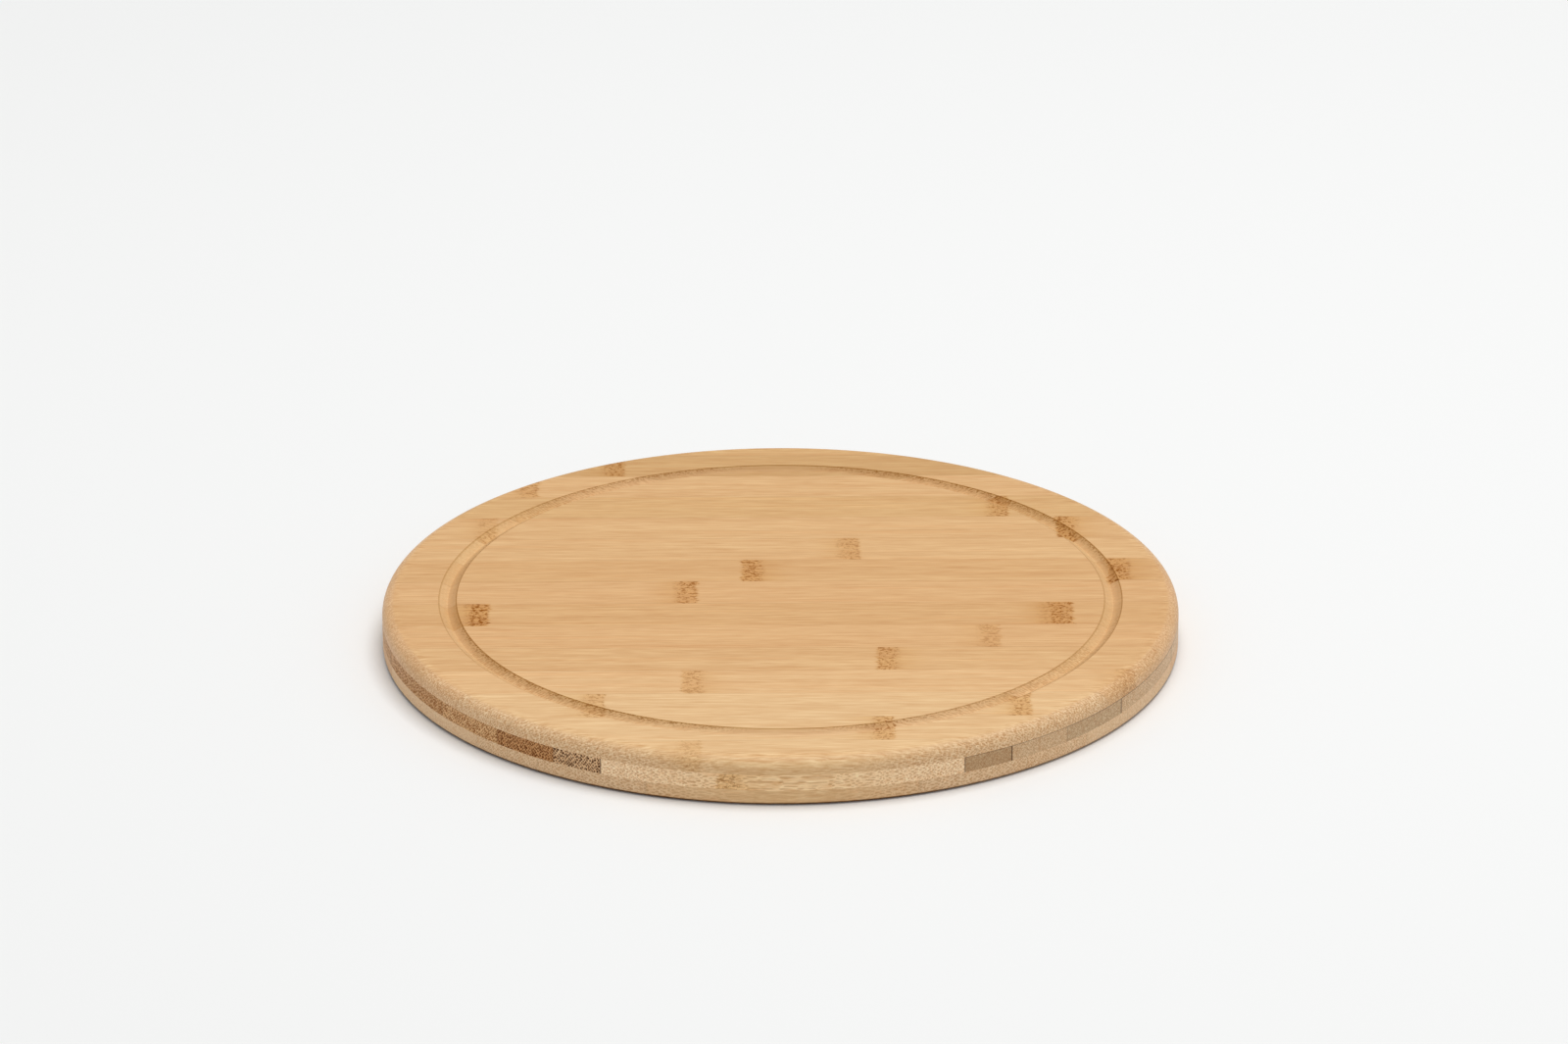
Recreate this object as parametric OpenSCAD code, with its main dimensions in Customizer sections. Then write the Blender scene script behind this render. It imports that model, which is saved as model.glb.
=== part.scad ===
// Round steak board in laminated bamboo, with a juice groove round its upper face.
// Three plies are glued into one panel: the slats of both faces run left to right,
// and those of the core run front to back between two strips that lie along the faces' grain.
// The origin is the middle of the underside, +Z is up and -Y is the front.

/* [Board] */
// Diameter of the finished board
board_d = 300; // [240:1:360]
// Thickness of each face ply
face_ply_t = 6; // [5:0.5:9]
// Thickness of the core ply
core_ply_t = 6; // [4:0.5:10]

/* [Slats] */
// Width of a planed bamboo slat
slat_w = 20.8; // [17:0.1:30]
// Shift of the upper face's joints from the centre line
top_joint_shift = -7.6; // [-10:0.1:10]
// Shift of the lower face's joints from the centre line
bottom_joint_shift = 4; // [-10:0.1:10]
// Shift of the core's joints from the centre line
core_joint_shift = 0; // [-10:0.1:10]
// Width of the core's front and back strips, in from the rim
core_strip_w = 15.4; // [10:0.1:24]
// Narrowest slat kept at the rim, below which its neighbour is cut wider
least_slat_w = 3; // [2:0.5:8]

/* [Edges] */
// Radius of the rounded upper edge
top_round_r = 5; // [2:0.5:6]
// Radius of the eased lower edge
bottom_round_r = 2; // [1:0.5:4]

/* [Juice groove] */
// Distance from the rim to the middle of the groove
groove_inset = 24.6; // [15:0.1:40]
// Width of the groove at the upper face
groove_w = 7.2; // [5:0.1:12]
// Depth of the groove at the crease between its two flat sides
groove_depth = 2; // [1:0.5:4]

/* [Hidden] */
$fn = 180;
board_r = board_d / 2;
board_t = 2 * face_ply_t + core_ply_t;
core_z = face_ply_t;
top_z = face_ply_t + core_ply_t;
groove_r = board_r - groove_inset;
core_half_y = board_r - core_strip_w;
// Blanks reach this far past what trims them
spare = 2;
blank = board_d + 2 * spare;
// Half width of the groove's pointed cutter, where it stands clear of the upper face
cutter_half_w = groove_w / 2 * (1 + spare / groove_depth);

// Joints between slats of one ply, from one side of the board to the other
function joints(shift) = let (last = ceil(board_d / slat_w))
    [for (k = [-last:last]) let (at = shift + k * slat_w) if (abs(at) < board_r - least_slat_w) at];

// Edges of the slats of one ply, with the outer two past the rim
function edges(shift) = concat([-blank / 2], joints(shift), [blank / 2]);

// Two-figure number of a slat
function figure(i) = i < 9 ? str("0", i + 1) : str(i + 1);

top_edges = edges(top_joint_shift);
core_edges = edges(core_joint_shift);
bottom_edges = edges(bottom_joint_shift);
top_names = [for (i = [0:len(top_edges) - 2]) str("top_slat_", figure(i))];
core_names = [for (i = [0:len(core_edges) - 2]) str("core_slat_", figure(i))];
bottom_names = [for (i = [0:len(bottom_edges) - 2]) str("bottom_slat_", figure(i))];

// Half section of the finished board, from its axis to its rim
module section() {
    difference() {
        union() {
            square([board_r - top_round_r, board_t]);
            square([board_r - bottom_round_r, board_t - top_round_r]);
            translate([0, bottom_round_r])
                square([board_r, board_t - top_round_r - bottom_round_r]);
            translate([board_r - top_round_r, board_t - top_round_r])
                circle(top_round_r);
            translate([board_r - bottom_round_r, bottom_round_r])
                circle(bottom_round_r);
        }
        groove_section();
    }
}

// Path of the pointed groove cutter through the half section
module groove_section() {
    translate([groove_r, board_t])
        polygon([[0, -groove_depth], [cutter_half_w, spare], [-cutter_half_w, spare]]);
}

// The board as one turned disc, which trims every slat
module disc() {
    rotate_extrude()
        section();
}

// Piece of one ply that runs left to right, from one joint to the next
module lengthwise(front_y, back_y, z, ply_t) {
    intersection() {
        disc();
        translate([-blank / 2, front_y, z])
            cube([blank, back_y - front_y, ply_t]);
    }
}

// Piece of the core that runs front to back, from one joint to the next and between the strips
module crosswise(left_x, right_x) {
    intersection() {
        disc();
        translate([left_x, -core_half_y, core_z])
            cube([right_x - left_x, 2 * core_half_y, core_ply_t]);
    }
}

module top_slat(i) {
    color(i % 2 == 0 ? "burlywood" : "tan")
        lengthwise(top_edges[i], top_edges[i + 1], top_z, face_ply_t);
}

module core_slat(i) {
    color(i % 2 == 0 ? "peru" : "tan")
        crosswise(core_edges[i], core_edges[i + 1]);
}

module core_front_strip() {
    color("burlywood")
        lengthwise(-blank / 2, -core_half_y, core_z, core_ply_t);
}

module core_back_strip() {
    color("burlywood")
        lengthwise(core_half_y, blank / 2, core_z, core_ply_t);
}

module bottom_slat(i) {
    color(i % 2 == 0 ? "tan" : "burlywood")
        lengthwise(bottom_edges[i], bottom_edges[i + 1], 0, face_ply_t);
}

for (i = [0:len(top_names) - 1])
    top_slat(i);
for (i = [0:len(core_names) - 1])
    core_slat(i);
core_front_strip();
core_back_strip();
for (i = [0:len(bottom_names) - 1])
    bottom_slat(i);
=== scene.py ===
"""Looks of a round steak board: planed bamboo slats in three glued plies, with a juice groove."""

import math

import bmesh
import bpy
from mathutils import Matrix, Quaternion, Vector


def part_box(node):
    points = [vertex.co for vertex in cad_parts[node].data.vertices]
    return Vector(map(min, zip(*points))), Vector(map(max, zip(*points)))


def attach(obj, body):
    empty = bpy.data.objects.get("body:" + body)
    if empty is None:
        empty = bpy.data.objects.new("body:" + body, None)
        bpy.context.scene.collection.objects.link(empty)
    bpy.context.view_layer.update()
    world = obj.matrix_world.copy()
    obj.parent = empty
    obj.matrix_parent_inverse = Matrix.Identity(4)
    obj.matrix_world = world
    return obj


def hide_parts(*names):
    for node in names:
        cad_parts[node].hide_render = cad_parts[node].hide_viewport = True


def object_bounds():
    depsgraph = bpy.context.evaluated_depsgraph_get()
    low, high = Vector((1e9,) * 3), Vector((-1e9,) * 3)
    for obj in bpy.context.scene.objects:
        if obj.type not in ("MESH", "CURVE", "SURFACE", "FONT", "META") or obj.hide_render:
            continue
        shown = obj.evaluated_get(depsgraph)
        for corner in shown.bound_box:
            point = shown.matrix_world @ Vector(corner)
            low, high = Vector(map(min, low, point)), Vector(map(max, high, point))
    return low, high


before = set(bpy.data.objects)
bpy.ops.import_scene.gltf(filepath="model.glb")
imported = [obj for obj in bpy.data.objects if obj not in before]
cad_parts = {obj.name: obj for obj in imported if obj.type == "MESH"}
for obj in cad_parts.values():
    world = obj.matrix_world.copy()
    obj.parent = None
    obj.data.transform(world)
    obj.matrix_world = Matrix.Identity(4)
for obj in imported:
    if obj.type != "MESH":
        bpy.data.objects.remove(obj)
CAD_LOW, CAD_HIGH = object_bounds()

MM = 0.001

# Sizes of the board, from the frame and from the cutters that shaped it
BOARD_R = CAD_HIGH.x
BOARD_T = CAD_HIGH.z
TOP_PLY_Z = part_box("top_slat_01")[0].z
CORE_PLY_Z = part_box("core_slat_01")[0].z
STRIP_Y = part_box("core_back_strip")[0].y
TOP_ROUND_R = 5 * MM
BOTTOM_ROUND_R = 2 * MM
GROOVE_R = BOARD_R - 24.6 * MM
GROOVE_W = 7.2 * MM
GROOVE_DEPTH = 2 * MM
GROOVE_EDGE_R = 0.12 * MM
JOINT_EASE = 0.04 * MM

# Steps of a full turn and of each rounded edge
TURN_STEPS = 240
ROUND_STEPS = 14
EASED_STEPS = 8
GROOVE_EDGE_STEPS = 3

# Distances within which two points are one, a point lies on a plane, and a point lies on a ring
MERGE = 1e-7
ON_PLANE = 1e-6
ON_RING = 0.1 * MM

# Angle past which a corner stays sharp, and how much the shading follows the larger faces
SHARP_ANGLE = math.radians(30)
LARGE_FACE_WEIGHT = 80

# Colours of the bamboo, as red, green and blue out of 255
CREAM = (249, 211, 160)
PALE = (228, 188, 137)
BLOND = (226, 183, 131)
HONEY = (221, 177, 124)
ROSE = (220, 174, 121)
TAN = (217, 171, 117)
AMBER = (215, 171, 116)
OLIVE = (207, 163, 108)
STRAW = (229, 191, 142)
CORE_TAN = (216, 180, 136)
CORE_GREY = (202, 169, 127)
CORE_UMBER = (190, 154, 111)
CORE_ORANGE = (222, 174, 118)
CORE_BROWN = (204, 154, 98)
CORE_DARK = (200, 144, 88)
CORE_SPECKLED = (222, 178, 130)
FIBRE_TAN = (164, 102, 40)
FIBRE_BROWN = (142, 86, 38)
FIBRE_UMBER = (106, 56, 16)
FIBRE_BLACK = (76, 38, 6)
NODE_BROWN = (144, 82, 10)
GLUE = (88, 56, 28)
PORE = (138, 86, 20)
# Painted shade for the foot of the rim, where the board meets the floor
PAINTED_FOOT_SHADE = (100, 56, 10)

# Tints that multiply those colours: rosy streaks, ends bleached by the saw, the two of a growth node,
# a burnished lip that also carries painted shade, and a freshly cut flank that also carries painted light
ROSY = (1.02, 0.97, 0.93, 1)
BLEACHED = (1.02, 1.06, 1.19, 1)
NODE_DRAWN = (0.92, 0.84, 0.68, 1)
NODE_PATCH = (0.91, 0.77, 0.54, 1)
BURNISHED_AND_SHADED = (0.54, 0.42, 0.22, 1)
FRESHLY_CUT_AND_LIT = (1.08, 1.14, 1.18, 1)

# How strongly the patch and the flecks of a growth node, the wear of the edges and the painted shade
# on the groove and at the rim's foot show at most
PATCH_SHARE = 0.4
FLECK_SHARE = 0.8
BURNISH_AND_SHADE_SHARE = 0.85
PORE_SHARE = 0.7
FOOT_SHADE_SHARE = 0.9

# How far red, green and blue follow a change of light, so that what is darker is warmer
WARMTH = (0.6, 1.0, 1.4)

# How far the ends of slats are bleached that run left to right, and of those that run front to back
LENGTHWISE_BLEACH = 1.0
CROSSWISE_BLEACH = 0.3

# Kinds of grain: how far apart the fibre bundles are across a slat and through it, in mm, their share
# of that, their colour, and how strongly they show along the grain and on end grain
FINE = (0.45, 0.9, 0.30, FIBRE_TAN, 0.15, 0.25)
OPEN = (0.65, 0.9, 0.34, FIBRE_TAN, 0.12, 0.48)
STREAKED = (0.5, 0.95, 0.3, FIBRE_TAN, 0.4, 0.48)
DENSE = (0.65, 0.9, 0.42, FIBRE_BROWN, 0.3, 0.9)
DARK = (0.7, 0.95, 0.42, FIBRE_UMBER, 0.3, 0.95)
COARSE = (0.75, 1.05, 0.4, FIBRE_BLACK, 0.4, 1.0)
FAINT = (0.5, 0.75, 0.36, FIBRE_BROWN, 0.2, 0.35)

# Length in mm over which a strand's tone changes, and how far apart the strands take their tones from
STRAND_L = 20
STRAND_SPREAD = 400.0

# Colour and kind of each slat, in the order of the nodes' numbers
TOP_SLATS = [
    (PALE, OPEN), (PALE, OPEN), (PALE, OPEN), (BLOND, OPEN), (HONEY, OPEN),
    (ROSE, FINE), (TAN, FINE), (ROSE, FINE), (TAN, FINE), (HONEY, FINE),
    (HONEY, FINE), (AMBER, OPEN), (HONEY, OPEN), (OLIVE, OPEN), (AMBER, FINE),
]
CORE_SLATS = [
    (CORE_BROWN, DENSE), (CORE_BROWN, DENSE), (CORE_ORANGE, DENSE), (CORE_DARK, DARK),
    (CORE_SPECKLED, COARSE), (CORE_TAN, FAINT), (CORE_ORANGE, DENSE), (CORE_GREY, FAINT),
    (CORE_TAN, DENSE), (CORE_BROWN, FAINT), (CORE_SPECKLED, COARSE), (CORE_UMBER, FAINT),
    (CORE_TAN, FAINT), (CORE_GREY, FAINT), (CORE_TAN, FAINT), (CORE_TAN, FAINT),
]
BOTTOM_SLATS = [
    (PALE, OPEN), (STRAW, OPEN), (STRAW, OPEN), (STRAW, FINE), (STRAW, FINE),
    (PALE, FINE), (ROSE, FINE), (HONEY, OPEN), (PALE, FINE), (TAN, FINE),
    (HONEY, OPEN), (PALE, FINE), (TAN, FINE), (ROSE, OPEN), (BLOND, FINE),
]
# The front strip's cream is partly painted light, brightening the front of the rim, which faces away from
# the lamp
STRIPS = [(CREAM, STREAKED), (STRAW, STREAKED)]

# Shift of the grain in mm from one slat to the next, and the number of each kind's first slat
GRAIN_SHIFT = (311.0, 47.3, 13.7)
FIRST_TOP, FIRST_BOTTOM, FIRST_CORE, FIRST_STRIP = 1, 21, 41, 61

# How dark the glue shows in the joints of the faces, of the strips and of the core, with the core's
# darker joints by their place in mm and the slats with a dark line under the upper ply
FACE_GLUE = 0.1
STRIP_GLUE = 0.8
CORE_GLUE = 0.2
DARK_JOINTS = {83.2: 0.9, 124.8: 0.6}
DARK_SEAMS = {
    "core_slat_12": 0.6, "core_slat_13": 0.6, "core_slat_14": 0.7,
    "core_slat_15": 0.8, "core_slat_16": 0.8,
}

# How far from a joint its glue is at its darkest, and how far from it the glue has faded
GLUE_HALF_W = 0.1 * MM
GLUE_FADED = 0.35 * MM

# Growth nodes that show on a slat: their place along it in mm, strength, and the side they fade to
NODE_MARKS = {
    "top_slat_01": [(-33, 0.4, -1)],
    "top_slat_02": [(37, 0.8, -1)],
    "top_slat_03": [(-68.5, 0.6, -1), (87.5, 0.8, -1)],
    "top_slat_04": [(-33, 0.6, 1), (127, 0.5, -1)],
    "top_slat_05": [(39, 0.8, 1)],
    "top_slat_06": [(78, 0.5, -1)],
    "top_slat_07": [(-113, 1.5, -1), (106, 1.0, -1), (101.5, 0.4, -1)],
    "top_slat_08": [(-35, 0.9, -1)],
    "top_slat_09": [(-11, 1.0, 1), (128, 1.2, 1)],
    "top_slat_10": [(27, 0.65, -1)],
    "top_slat_11": [(-112, 0.5, -1), (110, 1.1, 1)],
    "top_slat_12": [(85, 0.8, -1)],
    "top_slat_13": [(-97, 0.7, -1)],
    "top_slat_14": [(-64, 0.9, -1)],
    "top_slat_15": [(-50, 0.4, 1)],
    "core_front_strip": [(-20, 0.7, 1)],
    "core_back_strip": [(31, 0.8, -1)],
    "bottom_slat_03": [(31, 0.7, 1)],
    "bottom_slat_05": [(61, 0.8, -1)],
    "bottom_slat_06": [(-45, 0.9, 1)],
    "bottom_slat_08": [(12, 0.8, -1), (-128, 0.7, 1)],
    "bottom_slat_09": [(96, 0.9, 1)],
    "bottom_slat_11": [(-71, 0.8, -1)],
    "bottom_slat_12": [(35, 0.6, 1)],
    "bottom_slat_14": [(-20, 0.8, -1)],
}

# Extent of a growth node along its slat, in mm from its middle: where its flecked band and its tint
# set in, are full, start to fade and are gone, and how ragged those ends are
NODE_BAND = (-4.0, -3.0, 1.5, 6.5)
NODE_TINT = (-4.6, -3.0, 1.0, 18.0)
NODE_RAGGED = 2.6

# Finish of the oiled surface: roughness, sheen where it is oiled and where it is matt, and the grain's
# relief
ROUGHNESS = 0.45
OILED_SPECULAR = 0.22
MATT_SPECULAR = 0.04
RELIEF = 0.08 * MM
RELIEF_STRENGTH = 0.5

# Stage, in metres, watts and degrees
FLOOR_HALF_W = 6
FLOOR_GAP = 0.02 * MM
FLOOR_COLOUR = (0.89, 0.895, 0.89, 1)
SKY_STRENGTH = 0.48
CAMERA_TURN = -0.4
CAMERA_ELEVATION = 23.66
CAMERA_ROLL = -0.088
CAMERA_DISTANCE = 2.962
CAMERA_SIDE = 0.0037
CAMERA_AIM = (0.0014, 0, 0.0478)


# Meshes


def swept(bm, vert, centre, angle, steps):
    """Arc of edges from a vertex, turned about a centre in the half section, and its last vertex."""
    turned = bmesh.ops.spin(
        bm, geom=[vert], cent=centre, axis=(0, 1, 0), angle=angle, steps=steps, use_duplicate=False,
    )
    return next(item for item in turned["geom_last"] if isinstance(item, bmesh.types.BMVert))


def straight(bm, vert, x, z):
    """Edge from a vertex to a point of the half section, and the vertex there."""
    end = bm.verts.new((x, 0, z))
    bm.edges.new((vert, end))
    return end


def top_ply_section(bm):
    """Half section of the upper ply: the face with its groove, the rounded edge and the glued face."""
    end = straight(bm, bm.verts.new((0, 0, BOARD_T)), GROOVE_R - GROOVE_W / 2, BOARD_T)
    end = straight(bm, end, GROOVE_R, BOARD_T - GROOVE_DEPTH)
    end = straight(bm, end, GROOVE_R + GROOVE_W / 2, BOARD_T)
    end = straight(bm, end, BOARD_R - TOP_ROUND_R, BOARD_T)
    centre = (BOARD_R - TOP_ROUND_R, 0, BOARD_T - TOP_ROUND_R)
    end = swept(bm, end, centre, math.pi / 2, ROUND_STEPS)
    end = straight(bm, end, BOARD_R, TOP_PLY_Z)
    straight(bm, end, 0, TOP_PLY_Z)


def core_ply_section(bm):
    """Half section of the core: its upper glued face, the rim and its lower glued face."""
    end = straight(bm, bm.verts.new((0, 0, TOP_PLY_Z)), BOARD_R, TOP_PLY_Z)
    end = straight(bm, end, BOARD_R, CORE_PLY_Z)
    straight(bm, end, 0, CORE_PLY_Z)


def bottom_ply_section(bm):
    """Half section of the lower ply: its glued face, the rim, the eased edge and the underside."""
    end = straight(bm, bm.verts.new((0, 0, CORE_PLY_Z)), BOARD_R, CORE_PLY_Z)
    end = straight(bm, end, BOARD_R, BOTTOM_ROUND_R)
    centre = (BOARD_R - BOTTOM_ROUND_R, 0, BOTTOM_ROUND_R)
    end = swept(bm, end, centre, math.pi / 2, EASED_STEPS)
    straight(bm, end, 0, 0)


def turned_ply(section):
    """One ply as a closed disc, turned from its half section."""
    bm = bmesh.new()
    section(bm)
    bmesh.ops.spin(
        bm, geom=bm.verts[:] + bm.edges[:], cent=(0, 0, 0), axis=(0, 0, 1), angle=2 * math.pi,
        steps=TURN_STEPS, use_merge=True, use_duplicate=False,
    )
    bmesh.ops.remove_doubles(bm, verts=bm.verts[:], dist=MERGE)
    bmesh.ops.recalc_face_normals(bm, faces=bm.faces[:])
    return bm


def soften_groove(bm):
    """Rounds the two lips of the groove and the crease at its bottom, as sanding does."""
    def is_groove(vert):
        from_groove = abs(vert.co.xy.length - GROOVE_R)
        on_ring = from_groove < ON_RING or abs(from_groove - GROOVE_W / 2) < ON_RING
        return on_ring and vert.co.z > TOP_PLY_Z + ON_RING

    level = [edge for edge in bm.edges if abs(edge.verts[0].co.z - edge.verts[1].co.z) < ON_PLANE]
    rings = [edge for edge in level if all(map(is_groove, edge.verts))]
    bmesh.ops.bevel(
        bm, geom=rings, offset=GROOVE_EDGE_R, affect="EDGES", segments=GROOVE_EDGE_STEPS, profile=0.5,
        material=-1, clamp_overlap=True,
    )


def sawn(bm, point, outward):
    """Cuts away what lies past a plane and closes the cut."""
    bmesh.ops.bisect_plane(
        bm, geom=bm.verts[:] + bm.edges[:] + bm.faces[:], plane_co=point, plane_no=outward,
        dist=MERGE, clear_outer=True,
    )
    bmesh.ops.holes_fill(bm, edges=[edge for edge in bm.edges if edge.is_boundary], sides=0)


def ease_joints(bm, axis, joints):
    """Breaks the arrises where a slat's joint faces come out on the board's surface."""
    def is_arris(edge):
        ends = [vert.co for vert in edge.verts]
        on_joint = any(all(abs(co[axis] - joint) < ON_PLANE for co in ends) for joint in joints)
        on_glue = any(all(abs(co.z - z) < ON_PLANE for co in ends) for z in (TOP_PLY_Z, CORE_PLY_Z))
        return on_joint and not on_glue

    bmesh.ops.bevel(
        bm, geom=[edge for edge in bm.edges if is_arris(edge)], offset=JOINT_EASE, affect="EDGES",
        segments=1, profile=0.5, material=-1, clamp_overlap=True,
    )


def keep_in_box(bm):
    """Takes back the hair by which the rounding of numbers puts a point outside the CAD model's box."""
    for vert in bm.verts:
        vert.co = [min(max(part, low), high) for part, low, high in zip(vert.co, CAD_LOW, CAD_HIGH)]


def slat_mesh(ply, node, axis, joints, stops):
    """Mesh of one slat, sawn from its ply at its joints across an axis and at the stops.

    Stops are further planes that end it, each a point and an outward direction."""
    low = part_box(node)[0]
    bm = ply.copy()
    for joint in joints:
        point, outward = Vector(), Vector()
        point[axis] = joint
        outward[axis] = -1 if joint == low[axis] else 1
        sawn(bm, point, outward)
    for point, outward in stops:
        sawn(bm, point, outward)
    ease_joints(bm, axis, joints)
    keep_in_box(bm)
    bmesh.ops.recalc_face_normals(bm, faces=bm.faces[:])
    mesh = bpy.data.meshes.new(f"planed_{node}")
    bm.to_mesh(mesh)
    bm.free()
    mesh.shade_smooth()
    mesh.set_sharp_from_angle(angle=SHARP_ANGLE)
    return mesh


def slat_piece(mesh, node):
    """The slat as a piece that stands for its CAD node."""
    piece = bpy.data.objects.new(f"planed_{node}", mesh)
    bpy.context.scene.collection.objects.link(piece)
    normals = piece.modifiers.new("even_shading", "WEIGHTED_NORMAL")
    normals.keep_sharp = True
    normals.weight = LARGE_FACE_WEIGHT
    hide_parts(node)
    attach(piece, "root")


# Materials


def tone(red, green, blue):
    """Linear colour of a tone given out of 255 as it is seen."""
    def linear(part):
        part /= 255
        return part / 12.92 if part <= 0.04045 else ((part + 0.055) / 1.055) ** 2.4
    return (linear(red), linear(green), linear(blue), 1)


class Graph:
    """A node tree, with short calls that add a node, set its inputs and give back an output."""

    def __init__(self, tree):
        self.tree = tree

    def add(self, kind, inputs=(), **settings):
        node = self.tree.nodes.new(kind)
        for key, value in settings.items():
            setattr(node, key, value)
        for key, value in dict(inputs).items():
            self.feed(node.inputs[key], value)
        return node

    def feed(self, socket, value):
        if isinstance(value, bpy.types.NodeSocket):
            self.tree.links.new(value, socket)
        else:
            socket.default_value = value

    def placed(self, tree, inputs):
        """Outputs of a node group with these inputs."""
        return self.add("ShaderNodeGroup", inputs, node_tree=tree).outputs

    def math(self, operation, *values):
        return self.add("ShaderNodeMath", enumerate(values), operation=operation).outputs[0]

    def product(self, first, *others):
        for other in others:
            first = self.math("MULTIPLY", first, other)
        return first

    def vector(self, operation, first, second):
        return self.add("ShaderNodeVectorMath", {0: first, 1: second}, operation=operation).outputs[0]

    def scaled(self, vector, share):
        inputs = {0: vector, "Scale": share}
        return self.add("ShaderNodeVectorMath", inputs, operation="SCALE").outputs[0]

    def measured(self, operation, *vectors):
        """Number that an operation on vectors gives, such as a length."""
        node = self.add("ShaderNodeVectorMath", enumerate(vectors), operation=operation)
        return node.outputs["Value"]

    def split(self, vector):
        return self.add("ShaderNodeSeparateXYZ", {0: vector}).outputs

    def joined(self, *parts):
        return self.add("ShaderNodeCombineXYZ", enumerate(parts)).outputs[0]

    def channels(self, colour):
        return self.add("ShaderNodeSeparateColor", {0: colour}).outputs

    def step(self, value, low, high, start=0.0, end=1.0):
        """Smooth change from start to end as a value goes from low to high."""
        inputs = {"Value": value, "From Min": low, "From Max": high, "To Min": start, "To Max": end}
        return self.add("ShaderNodeMapRange", inputs, interpolation_type="SMOOTHSTEP").outputs[0]

    def between(self, share, first, second):
        """Number that goes from the first to the second with a share."""
        return self.add("ShaderNodeMix", {0: share, 2: first, 3: second}).outputs[0]

    def mixed(self, share, first, second, blend="MIX"):
        """Colour that goes from the first to the second, or to their blend, with a share."""
        inputs = {0: share, 6: first, 7: second}
        node = self.add("ShaderNodeMix", inputs, data_type="RGBA", blend_type=blend, clamp_factor=True)
        return node.outputs[2]

    def noise(self, place, size, detail=2.0, roughness=0.5, distortion=0.0):
        """Outputs of a noise of 0 to 1, with features of so much along each axis."""
        place = self.vector("MULTIPLY", place, [1 / part for part in size])
        inputs = {"Vector": place, "Scale": 1.0, "Detail": detail, "Roughness": roughness,
                  "Distortion": distortion}
        return self.add("ShaderNodeTexNoise", inputs).outputs

    def swing(self, value, reach):
        """A noise value of 0 to 1, as a swing of so much either side of 0."""
        return self.math("MULTIPLY", self.math("SUBTRACT", value, 0.5), 2 * reach)

    def shift(self, noise, reach):
        """A noise's colour, as a shift of so much either side of 0 along each axis."""
        centred = self.vector("SUBTRACT", noise["Color"], (0.5, 0.5, 0.5))
        return self.vector("MULTIPLY", centred, [2 * part for part in reach])


def group(name, inputs, outputs):
    """An empty node group, with its sockets' labels listed by kind, and the graph to fill it with."""
    tree = bpy.data.node_groups.new(name, "ShaderNodeTree")
    for in_out, kinds in (("INPUT", inputs), ("OUTPUT", outputs)):
        for kind, labels in kinds.items():
            for label in labels:
                tree.interface.new_socket(label, in_out=in_out, socket_type=f"NodeSocket{kind}")
    graph = Graph(tree)
    return tree, graph, graph.add("NodeGroupInput").outputs, graph.add("NodeGroupOutput").inputs


def wandering(graph, place, rim, mark):
    """Place in a slat whose fibres drift, wander at the rim and swirl through a growth node."""
    drift = graph.shift(graph.noise(place, (110, 9, 9), detail=1.0), (0, 0.12, 0.2))
    wander = graph.shift(graph.noise(place, (8, 6, 6), detail=1.0), (0, 0.9, 0.25))
    swirl = graph.shift(graph.noise(place, (3, 2, 2), detail=1.0), (0, 0.6, 0.6))
    place = graph.vector("ADD", place, graph.vector("ADD", drift, graph.scaled(wander, rim)))
    return graph.vector("ADD", place, graph.scaled(swirl, mark))


def fibre_bundles(graph, place, pitch):
    """Bundles in staggered rows: the distance to one's middle, its random numbers and its own tone."""
    parts = graph.split(graph.vector("DIVIDE", place, pitch))
    rows = {"Vector": graph.joined(parts[1], parts[2]), "Angle": math.pi / 4}
    rows = graph.add("ShaderNodeVectorRotate", rows, rotation_type="Z_AXIS").outputs[0]
    cells = {"Vector": rows, "Scale": 1.0, "Randomness": 0.55}
    cells = graph.add("ShaderNodeTexVoronoi", cells, voronoi_dimensions="2D").outputs
    uneven = graph.channels(cells["Color"])
    along = graph.math("MULTIPLY_ADD", parts[0], 1 / STRAND_L, graph.product(uneven[2], STRAND_SPREAD))
    strand = {"W": along, "Scale": 1.0, "Detail": 2.0, "Roughness": 0.6}
    strand = graph.add("ShaderNodeTexNoise", strand, noise_dimensions="1D").outputs["Fac"]
    return cells["Distance"], uneven, strand


def cut_fibres(graph, place, end_share):
    """Swing of light where the rim cuts the fibres: dashes at a slant, and speckles straight across."""
    dash = graph.swing(graph.noise(place, (6, 0.7, 0.7), roughness=0.6)["Fac"], 0.55)
    speckle = graph.swing(graph.noise(place, (0.7, 0.7, 0.7), detail=1.0)["Fac"], 0.6)
    return graph.between(end_share, dash, speckle)


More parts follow.
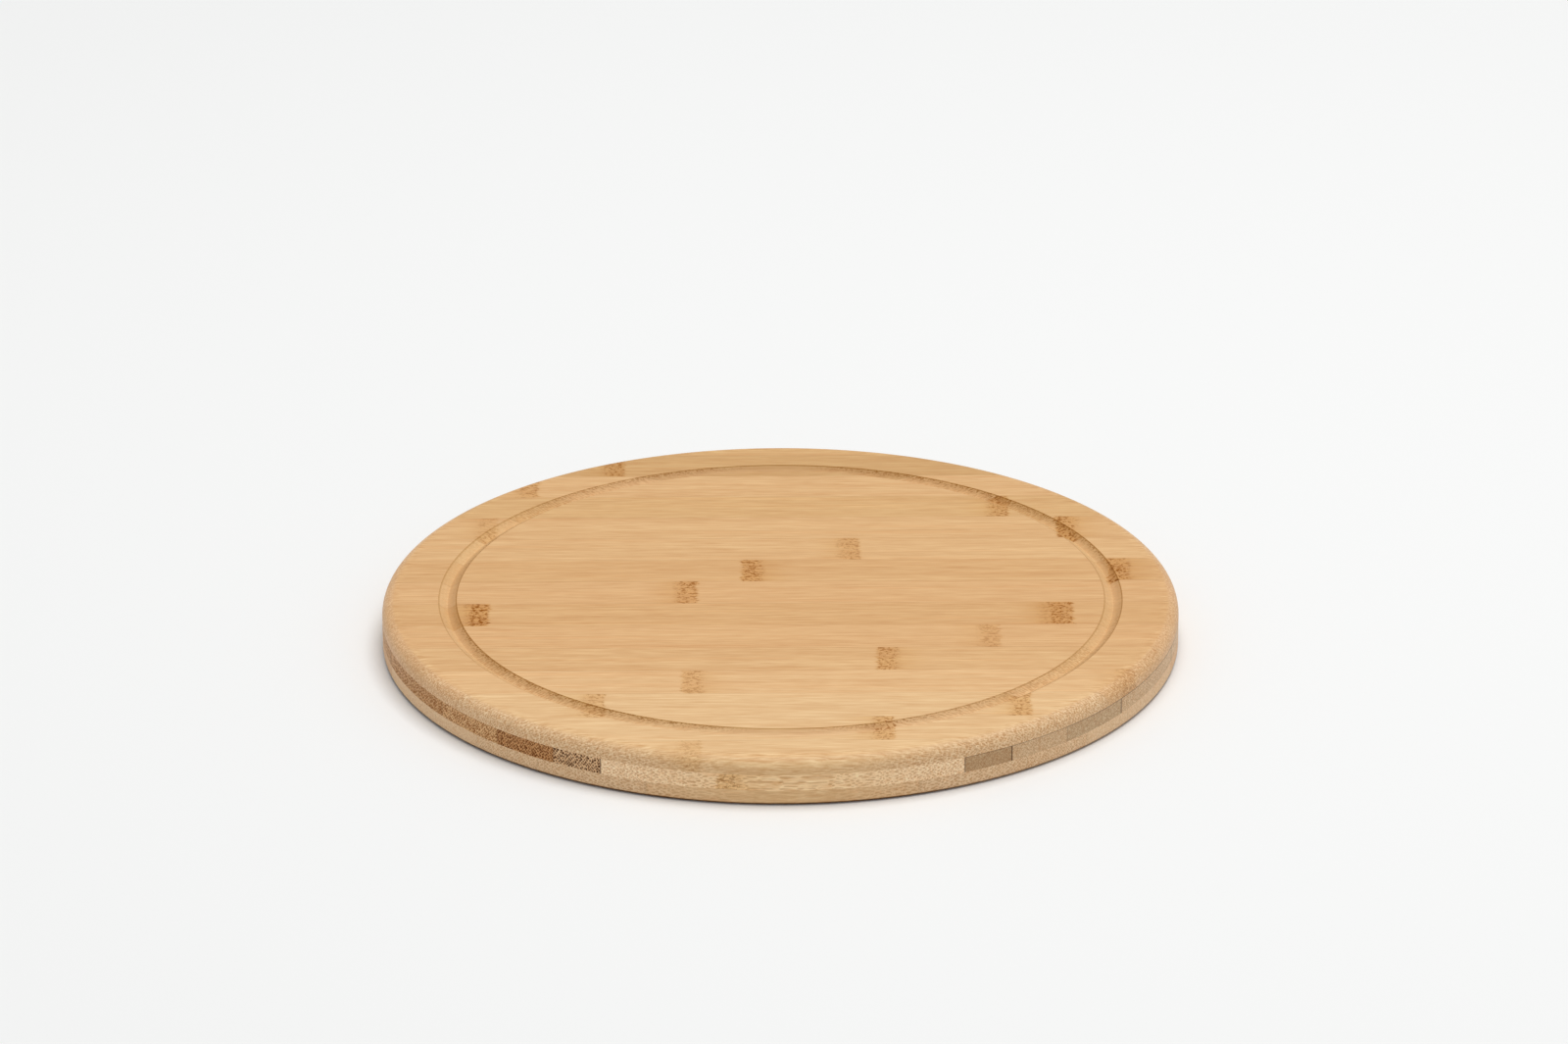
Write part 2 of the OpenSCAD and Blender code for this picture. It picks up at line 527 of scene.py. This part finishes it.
def bamboo_grain():
    """Group for planed bamboo: fibre bundles that show as strands on a face and as dots on the ends."""
    tree, graph, given, made = group(
        "bamboo_grain",
        {"Vector": ["Place", "Bundle Pitch"], "Color": ["Ground", "Fibre"],
         "Float": ["Bundle Share", "Face Contrast", "End Contrast", "End Grain", "Rim", "Cut Ends",
                   "Bleach", "Node Mark", "Node Tint"]},
        {"Color": ["Color"], "Float": ["Roughness", "Height", "Matt"]},
    )
    mark, rim = given["Node Mark"], given["Rim"]
    end_share = graph.step(given["End Grain"], 0.04, 0.4)
    place = wandering(graph, given["Place"], rim, mark)

    # Bundles of uneven size and depth, which show more on end grain
    distance, uneven, strand = fibre_bundles(graph, place, given["Bundle Pitch"])
    radius = graph.product(given["Bundle Share"], graph.step(uneven[0], 0.0, 1.0, 0.75, 1.2))
    bundle = graph.step(graph.math("SUBTRACT", radius, distance), -0.1, 0.1)
    contrast = graph.between(end_share, given["Face Contrast"], given["End Contrast"])
    bundle = graph.product(bundle, graph.step(uneven[1], 0.0, 1.0, 0.7, 1.0), contrast)

    # Swing of light: broad bands, long streaks, short fine fibres, strands, and what the rim cuts
    broad = graph.noise(place, (120, 6, 9))
    streak = graph.noise(place, (150, 1.5, 2.5), detail=3.0, roughness=0.7)
    fine = graph.noise(place, (14, 1.1, 1.1), roughness=0.6)["Fac"]
    light = graph.math("ADD", graph.swing(broad["Fac"], 0.1), graph.swing(streak["Fac"], 0.23))
    light = graph.product(light, graph.step(rim, 0.0, 1.0, 1.0, 0.5))
    light = graph.math("ADD", light, graph.swing(fine, 0.16))
    light = graph.math("ADD", light, graph.swing(strand, 0.25))
    light = graph.product(light, graph.step(given["End Grain"], 0.03, 0.35, 1.0, 0.4))
    light = graph.math("MULTIPLY_ADD", cut_fibres(graph, place, end_share), given["Cut Ends"], light)
    light = graph.joined(*[graph.math("MULTIPLY_ADD", light, reach, 1.0) for reach in WARMTH])

    # Ground with rosy streaks and bleached ends, under that light, and the bundles on it
    hue = graph.channels(streak["Color"])
    ground = graph.mixed(graph.step(hue[1], 0.5, 0.7), given["Ground"], ROSY, "MULTIPLY")
    ground = graph.mixed(graph.product(end_share, rim, given["Bleach"]), ground, BLEACHED, "MULTIPLY")
    ground = graph.mixed(1.0, ground, light, "MULTIPLY")
    colour = graph.mixed(bundle, ground, given["Fibre"])

    # Growth nodes: an orange tint drawn out along the fibres, with dark flecks
    flecks = graph.noise(place, (1.6, 1.2, 1.2), detail=3.0, roughness=0.7, distortion=0.3)
    fleck = graph.product(graph.step(flecks["Fac"], 0.48, 0.6), mark)
    drawn = graph.product(given["Node Tint"], graph.step(streak["Fac"], 0.35, 0.6, 0.5, 1.0))
    colour = graph.mixed(drawn, colour, NODE_DRAWN, "MULTIPLY")
    colour = graph.mixed(graph.product(mark, PATCH_SHARE), colour, NODE_PATCH, "MULTIPLY")
    colour = graph.mixed(graph.product(fleck, FLECK_SHARE), colour, tone(*NODE_BROWN))

    rough = graph.math("ADD", graph.swing(fine, 0.06), ROUGHNESS)
    height = graph.math("SUBTRACT", graph.swing(fine, 0.2), graph.product(bundle, 0.8))
    graph.feed(made["Color"], colour)
    graph.feed(made["Roughness"], graph.math("ADD", rough, graph.product(bundle, 0.12)))
    graph.feed(made["Height"], graph.math("SUBTRACT", height, graph.product(fleck, 0.4)))
    graph.feed(made["Matt"], graph.math("MAXIMUM", bundle, fleck))
    return tree


def node_mark():
    """Group for one growth node: a flecked band across the slat, in a tint that fades to one side."""
    tree, graph, given, made = group(
        "node_mark",
        {"Float": ["Along", "Ragged", "Centre", "Fades To", "Strength"]},
        {"Float": ["Mark", "Tint"]},
    )
    off = graph.math("SUBTRACT", graph.math("ADD", given["Along"], given["Ragged"]), given["Centre"])
    off = graph.product(off, given["Fades To"])
    for label, (start, full, fading, gone) in (("Mark", NODE_BAND), ("Tint", NODE_TINT)):
        extent = graph.product(graph.step(off, start, full), graph.step(off, gone, fading))
        graph.feed(made[label], graph.product(extent, given["Strength"]))
    return tree


def edge_wear():
    """Group for the board's edges: the sawn rim, painted shade on its lower edge, and the groove's lips
    and sides.
    """
    tree, graph, given, made = group(
        "edge_wear",
        {"Vector": ["Place", "Facing"]},
        {"Float": ["Rim", "Cut Ends", "Foot Shade", "Burnish And Shade", "Torn", "Fresh And Lit"]},
    )
    place = given["Place"]
    x, y, z = graph.split(place)
    from_axis = graph.measured("LENGTH", graph.joined(x, y))

    # The rim, from just inside the rounded edge, with the ends of the lower ply sanded smoother
    rim = graph.step(from_axis, BOARD_R - 8 * MM, BOARD_R - TOP_ROUND_R)
    sanded = graph.step(z, CORE_PLY_Z - 0.2 * MM, CORE_PLY_Z, 0.6, 1.0)
    graph.feed(made["Rim"], rim)
    graph.feed(made["Cut Ends"], graph.product(rim, sanded))

    # The lower edge, darkened in a ragged line as painted shade where the board meets the floor, and less
    # so at the right, towards the lamp
    height = graph.math("ADD", z, graph.swing(graph.noise(place, [MM / 0.3] * 3)["Fac"], 0.2 * MM))
    low_edge = graph.step(from_axis, BOARD_R - 1.9 * MM, BOARD_R - 1.2 * MM)
    shaded_foot = graph.product(low_edge, graph.step(height, 1.25 * MM, 0.8 * MM))
    graph.feed(made["Foot Shade"], graph.product(shaded_foot, graph.step(x, 30 * MM, 120 * MM, 1.0, 0.4)))

    # The groove, by its depth, inside the rim and no deeper than its crease
    depth = graph.math("SUBTRACT", BOARD_T, z)
    inside = graph.step(from_axis, GROOVE_R + 5 * MM, GROOVE_R + 4 * MM)
    inside = graph.product(inside, graph.step(depth, GROOVE_DEPTH + 1 * MM, GROOVE_DEPTH + 0.5 * MM))
    below = graph.product(graph.step(depth, 0.03 * MM, 0.1 * MM), inside)

    # Its lips burnished all round, and lips and sides darkened with painted shade where they face the
    # front and the left, away from the lamp
    to_back_right = (0.7, 0.7, 0)
    away = graph.measured("DOT_PRODUCT", given["Facing"], to_back_right)
    facing_from_lamp = graph.step(away, 0.2, -0.4, 0.2, 1.0)
    lip = graph.product(graph.step(depth, 0.55 * MM, 0.15 * MM), graph.math("MAXIMUM", facing_from_lamp, 0.65))
    # The sides: painted shade only, where they face away from the lamp
    side = graph.product(graph.step(depth, 2.2 * MM, 0.5 * MM, 0.0, 0.4), facing_from_lamp)
    graph.feed(made["Burnish And Shade"], graph.product(below, graph.math("MAXIMUM", lip, side)))

    # Pits where the cutter tore fibres that it met at a slant, most on the sides away from the lamp,
    # where they add to the painted shade
    slant = graph.math("DIVIDE", graph.math("ABSOLUTE", graph.product(x, y)), GROOVE_R ** 2)
    torn = graph.product(below, graph.step(depth, 1.7 * MM, 0.3 * MM), facing_from_lamp)
    torn = graph.product(torn, graph.step(slant, 0.02, 0.3))
    pits = graph.noise(place, (MM / 1.1, MM / 1.4, MM / 1.4), roughness=0.6)["Fac"]
    graph.feed(made["Torn"], graph.product(torn, graph.step(pits, 0.48, 0.6)))

    # Pale sides where it cut straight across the fibres, paler still with painted light where they face
    # the lamp
    across = graph.math("DIVIDE", graph.math("ABSOLUTE", x), GROOVE_R)
    fresh_and_lit = graph.product(below, graph.step(across, 0.6, 0.95), graph.math("SUBTRACT", 1.2, facing_from_lamp))
    graph.feed(made["Fresh And Lit"], fresh_and_lit)
    return tree


BAMBOO_GRAIN = bamboo_grain()
NODE_MARK = node_mark()
EDGE_WEAR = edge_wear()


def growth_nodes(graph, node, place, along):
    """Marks and tints of all growth nodes of a slat."""
    along_mm = graph.math("MULTIPLY", along, 1 / MM)
    ragged = graph.swing(graph.noise(place, (20, 1.3, 1.3))["Fac"], NODE_RAGGED)
    mark, tint = 0.0, 0.0
    for centre, strength, fades_to in NODE_MARKS.get(node, []):
        one = graph.placed(NODE_MARK, {
            "Along": along_mm, "Ragged": ragged, "Centre": centre, "Fades To": fades_to,
            "Strength": strength,
        })
        mark = graph.math("ADD", mark, one["Mark"])
        tint = graph.math("ADD", tint, one["Tint"])
    return mark, tint


def glue_line(graph, colour, position, joint, strength):
    """Colour with the glue's dark line, where a joint comes out on the surface."""
    off = graph.math("ABSOLUTE", graph.math("SUBTRACT", position, joint))
    return graph.mixed(graph.step(off, GLUE_FADED, GLUE_HALF_W, 0.0, strength), colour, tone(*GLUE))


def worn(graph, colour, edges):
    """Colour with the wear of the board's edges, their painted shade and the groove's painted light."""
    # Burnished lips, and painted shade on the groove's lips and sides that face away from the lamp
    colour = graph.mixed(graph.product(edges["Burnish And Shade"], BURNISH_AND_SHADE_SHARE), colour, BURNISHED_AND_SHADED, "MULTIPLY")
    # Pale freshly cut sides, with painted light where they face the lamp
    colour = graph.mixed(edges["Fresh And Lit"], colour, FRESHLY_CUT_AND_LIT, "MULTIPLY")
    colour = graph.mixed(graph.product(edges["Torn"], PORE_SHARE), colour, tone(*PORE))
    # Painted shade at the rim's foot
    return graph.mixed(graph.product(edges["Foot Shade"], FOOT_SHADE_SHARE), colour, tone(*PAINTED_FOOT_SHADE))


def bamboo_finish(node, ground, kind, axis, joints, number):
    """Oiled bamboo of one slat, with its own grain, growth nodes, glue lines and worn edges."""
    material = bpy.data.materials.new(f"oiled_{node}")
    material.use_nodes = True
    graph = Graph(material.node_tree)
    shader = material.node_tree.nodes["Principled BSDF"]
    coordinates = graph.add("ShaderNodeTexCoord").outputs
    here = graph.split(coordinates["Object"])
    facing = graph.split(coordinates["Normal"])
    lengthwise = axis == 1
    place = graph.add("ShaderNodeMapping", {
        "Vector": coordinates["Object"], "Scale": [1 / MM] * 3,
        "Rotation": (0, 0, 0 if lengthwise else -math.pi / 2),
        "Location": [part * number for part in GRAIN_SHIFT],
    }).outputs[0]

    mark, tint = growth_nodes(graph, node, place, here[1 - axis])
    edges = graph.placed(EDGE_WEAR, {"Place": coordinates["Object"], "Facing": coordinates["Normal"]})
    pitch_across, pitch_through, share, fibre, face_contrast, end_contrast = kind
    grain = graph.placed(BAMBOO_GRAIN, {
        "Place": place, "Bundle Pitch": (1, pitch_across, pitch_through), "Bundle Share": share,
        "Ground": tone(*ground), "Fibre": tone(*fibre),
        "Face Contrast": face_contrast, "End Contrast": end_contrast,
        "End Grain": graph.math("ABSOLUTE", facing[1 - axis]),
        "Rim": edges["Rim"], "Cut Ends": edges["Cut Ends"],
        "Bleach": LENGTHWISE_BLEACH if lengthwise else CROSSWISE_BLEACH,
        "Node Mark": mark, "Node Tint": tint,
    })
    colour = grain["Color"]
    for joint, strength in joints.items():
        colour = glue_line(graph, colour, here[axis], joint, strength)
    colour = glue_line(graph, colour, here[2], TOP_PLY_Z, DARK_SEAMS.get(node, 0.0))
    graph.feed(shader.inputs["Base Color"], worn(graph, colour, edges))
    graph.feed(shader.inputs["Roughness"], grain["Roughness"])
    relief = {"Height": grain["Height"], "Strength": RELIEF_STRENGTH, "Distance": RELIEF}
    graph.feed(shader.inputs["Normal"], graph.add("ShaderNodeBump", relief).outputs[0])
    matt = grain["Matt"]
    for label in ("Foot Shade", "Burnish And Shade", "Torn"):
        matt = graph.math("MAXIMUM", matt, edges[label])
    sheen = graph.step(matt, 0.0, 1.0, OILED_SPECULAR, MATT_SPECULAR)
    graph.feed(shader.inputs["Specular IOR Level"], sheen)
    return material


# Pieces


def joints_of(node, axis):
    """Places across an axis of the joints at a slat's two sides, without the rim's."""
    low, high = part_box(node)
    return [edge for edge in (low[axis], high[axis]) if abs(edge) < BOARD_R - 1 * MM]


def numbered(kind):
    """Names of the nodes of one kind of slat, in order."""
    return sorted(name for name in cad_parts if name.startswith(f"{kind}_slat_"))


def lay_slats(ply, nodes, slats, axis, stops, first, glue):
    """All slats of one kind, each with its own finish."""
    for number, (node, (ground, kind)) in enumerate(zip(nodes, slats), first):
        joints = joints_of(node, axis)
        darker = DARK_JOINTS if axis == 0 else {}
        glued = {joint: darker.get(round(joint / MM, 1), glue) for joint in joints}
        mesh = slat_mesh(ply, node, axis, joints, stops)
        mesh.materials.append(bamboo_finish(node, ground, kind, axis, glued, number))
        slat_piece(mesh, node)


top_ply = turned_ply(top_ply_section)
soften_groove(top_ply)
core_ply = turned_ply(core_ply_section)
bottom_ply = turned_ply(bottom_ply_section)
strips = ["core_front_strip", "core_back_strip"]
core_ends = [((0, side * STRIP_Y, 0), (0, side, 0)) for side in (-1, 1)]

lay_slats(top_ply, numbered("top"), TOP_SLATS, 1, [], FIRST_TOP, FACE_GLUE)
lay_slats(core_ply, numbered("core"), CORE_SLATS, 0, core_ends, FIRST_CORE, CORE_GLUE)
lay_slats(core_ply, strips, STRIPS, 1, [], FIRST_STRIP, STRIP_GLUE)
lay_slats(bottom_ply, numbered("bottom"), BOTTOM_SLATS, 1, [], FIRST_BOTTOM, FACE_GLUE)

for ply in (top_ply, core_ply, bottom_ply):
    ply.free()


# Stage


def floor():
    """Plain pale floor, a hair under the board so that the two faces don't coincide."""
    bm = bmesh.new()
    below = Matrix.Translation((0, 0, -FLOOR_GAP))
    bmesh.ops.create_grid(bm, x_segments=1, y_segments=1, size=FLOOR_HALF_W, matrix=below)
    mesh = bpy.data.meshes.new("floor")
    bm.to_mesh(mesh)
    bm.free()
    plane = bpy.data.objects.new("floor", mesh)
    bpy.context.scene.collection.objects.link(plane)
    material = bpy.data.materials.new("pale_floor")
    material.use_nodes = True
    shader = material.node_tree.nodes["Principled BSDF"]
    shader.inputs["Base Color"].default_value = FLOOR_COLOUR
    shader.inputs["Roughness"].default_value = 0.7
    shader.inputs["Specular IOR Level"].default_value = 0.2
    mesh.materials.append(material)


def lamp(name, place, aim, size, power):
    """Square soft light that points at a spot."""
    light = bpy.data.lights.new(name, "AREA")
    light.size = size
    light.energy = power
    holder = bpy.data.objects.new(name, light)
    holder.location = place
    holder.rotation_mode = "QUATERNION"
    holder.rotation_quaternion = (Vector(aim) - Vector(place)).to_track_quat("-Z", "Y")
    bpy.context.scene.collection.objects.link(holder)


def sky(strength):
    """Even white light from all round."""
    world = bpy.data.worlds.new("studio")
    world.use_nodes = True
    backdrop = world.node_tree.nodes["Background"]
    backdrop.inputs["Color"].default_value = (1, 1, 1, 1)
    backdrop.inputs["Strength"].default_value = strength
    bpy.context.scene.world = world


def camera():
    """Long lens, looking down at the board from the front."""
    elevation = math.radians(CAMERA_ELEVATION)
    back, up = CAMERA_DISTANCE * math.cos(elevation), CAMERA_DISTANCE * math.sin(elevation)
    about = Matrix.Rotation(math.radians(CAMERA_TURN), 3, "Z")
    place = about @ Vector((CAMERA_SIDE, -back, up))
    aim = about @ Vector(CAMERA_AIM)
    roll = Quaternion((0, 0, 1), math.radians(CAMERA_ROLL))
    lens = bpy.data.cameras.new("camera")
    lens.sensor_width = 36
    lens.lens = 180
    lens.clip_start = 0.1
    lens.clip_end = 50
    holder = bpy.data.objects.new("camera", lens)
    holder.location = place
    holder.rotation_mode = "QUATERNION"
    holder.rotation_quaternion = (aim - place).to_track_quat("-Z", "Y") @ roll
    bpy.context.scene.collection.objects.link(holder)
    bpy.context.scene.camera = holder


floor()
sky(SKY_STRENGTH)
lamp("softbox", place=(0.42, 0.22, 3), aim=(0, 0, 0), size=2.0, power=61)
camera()
bpy.context.scene.view_settings.view_transform = "Standard"
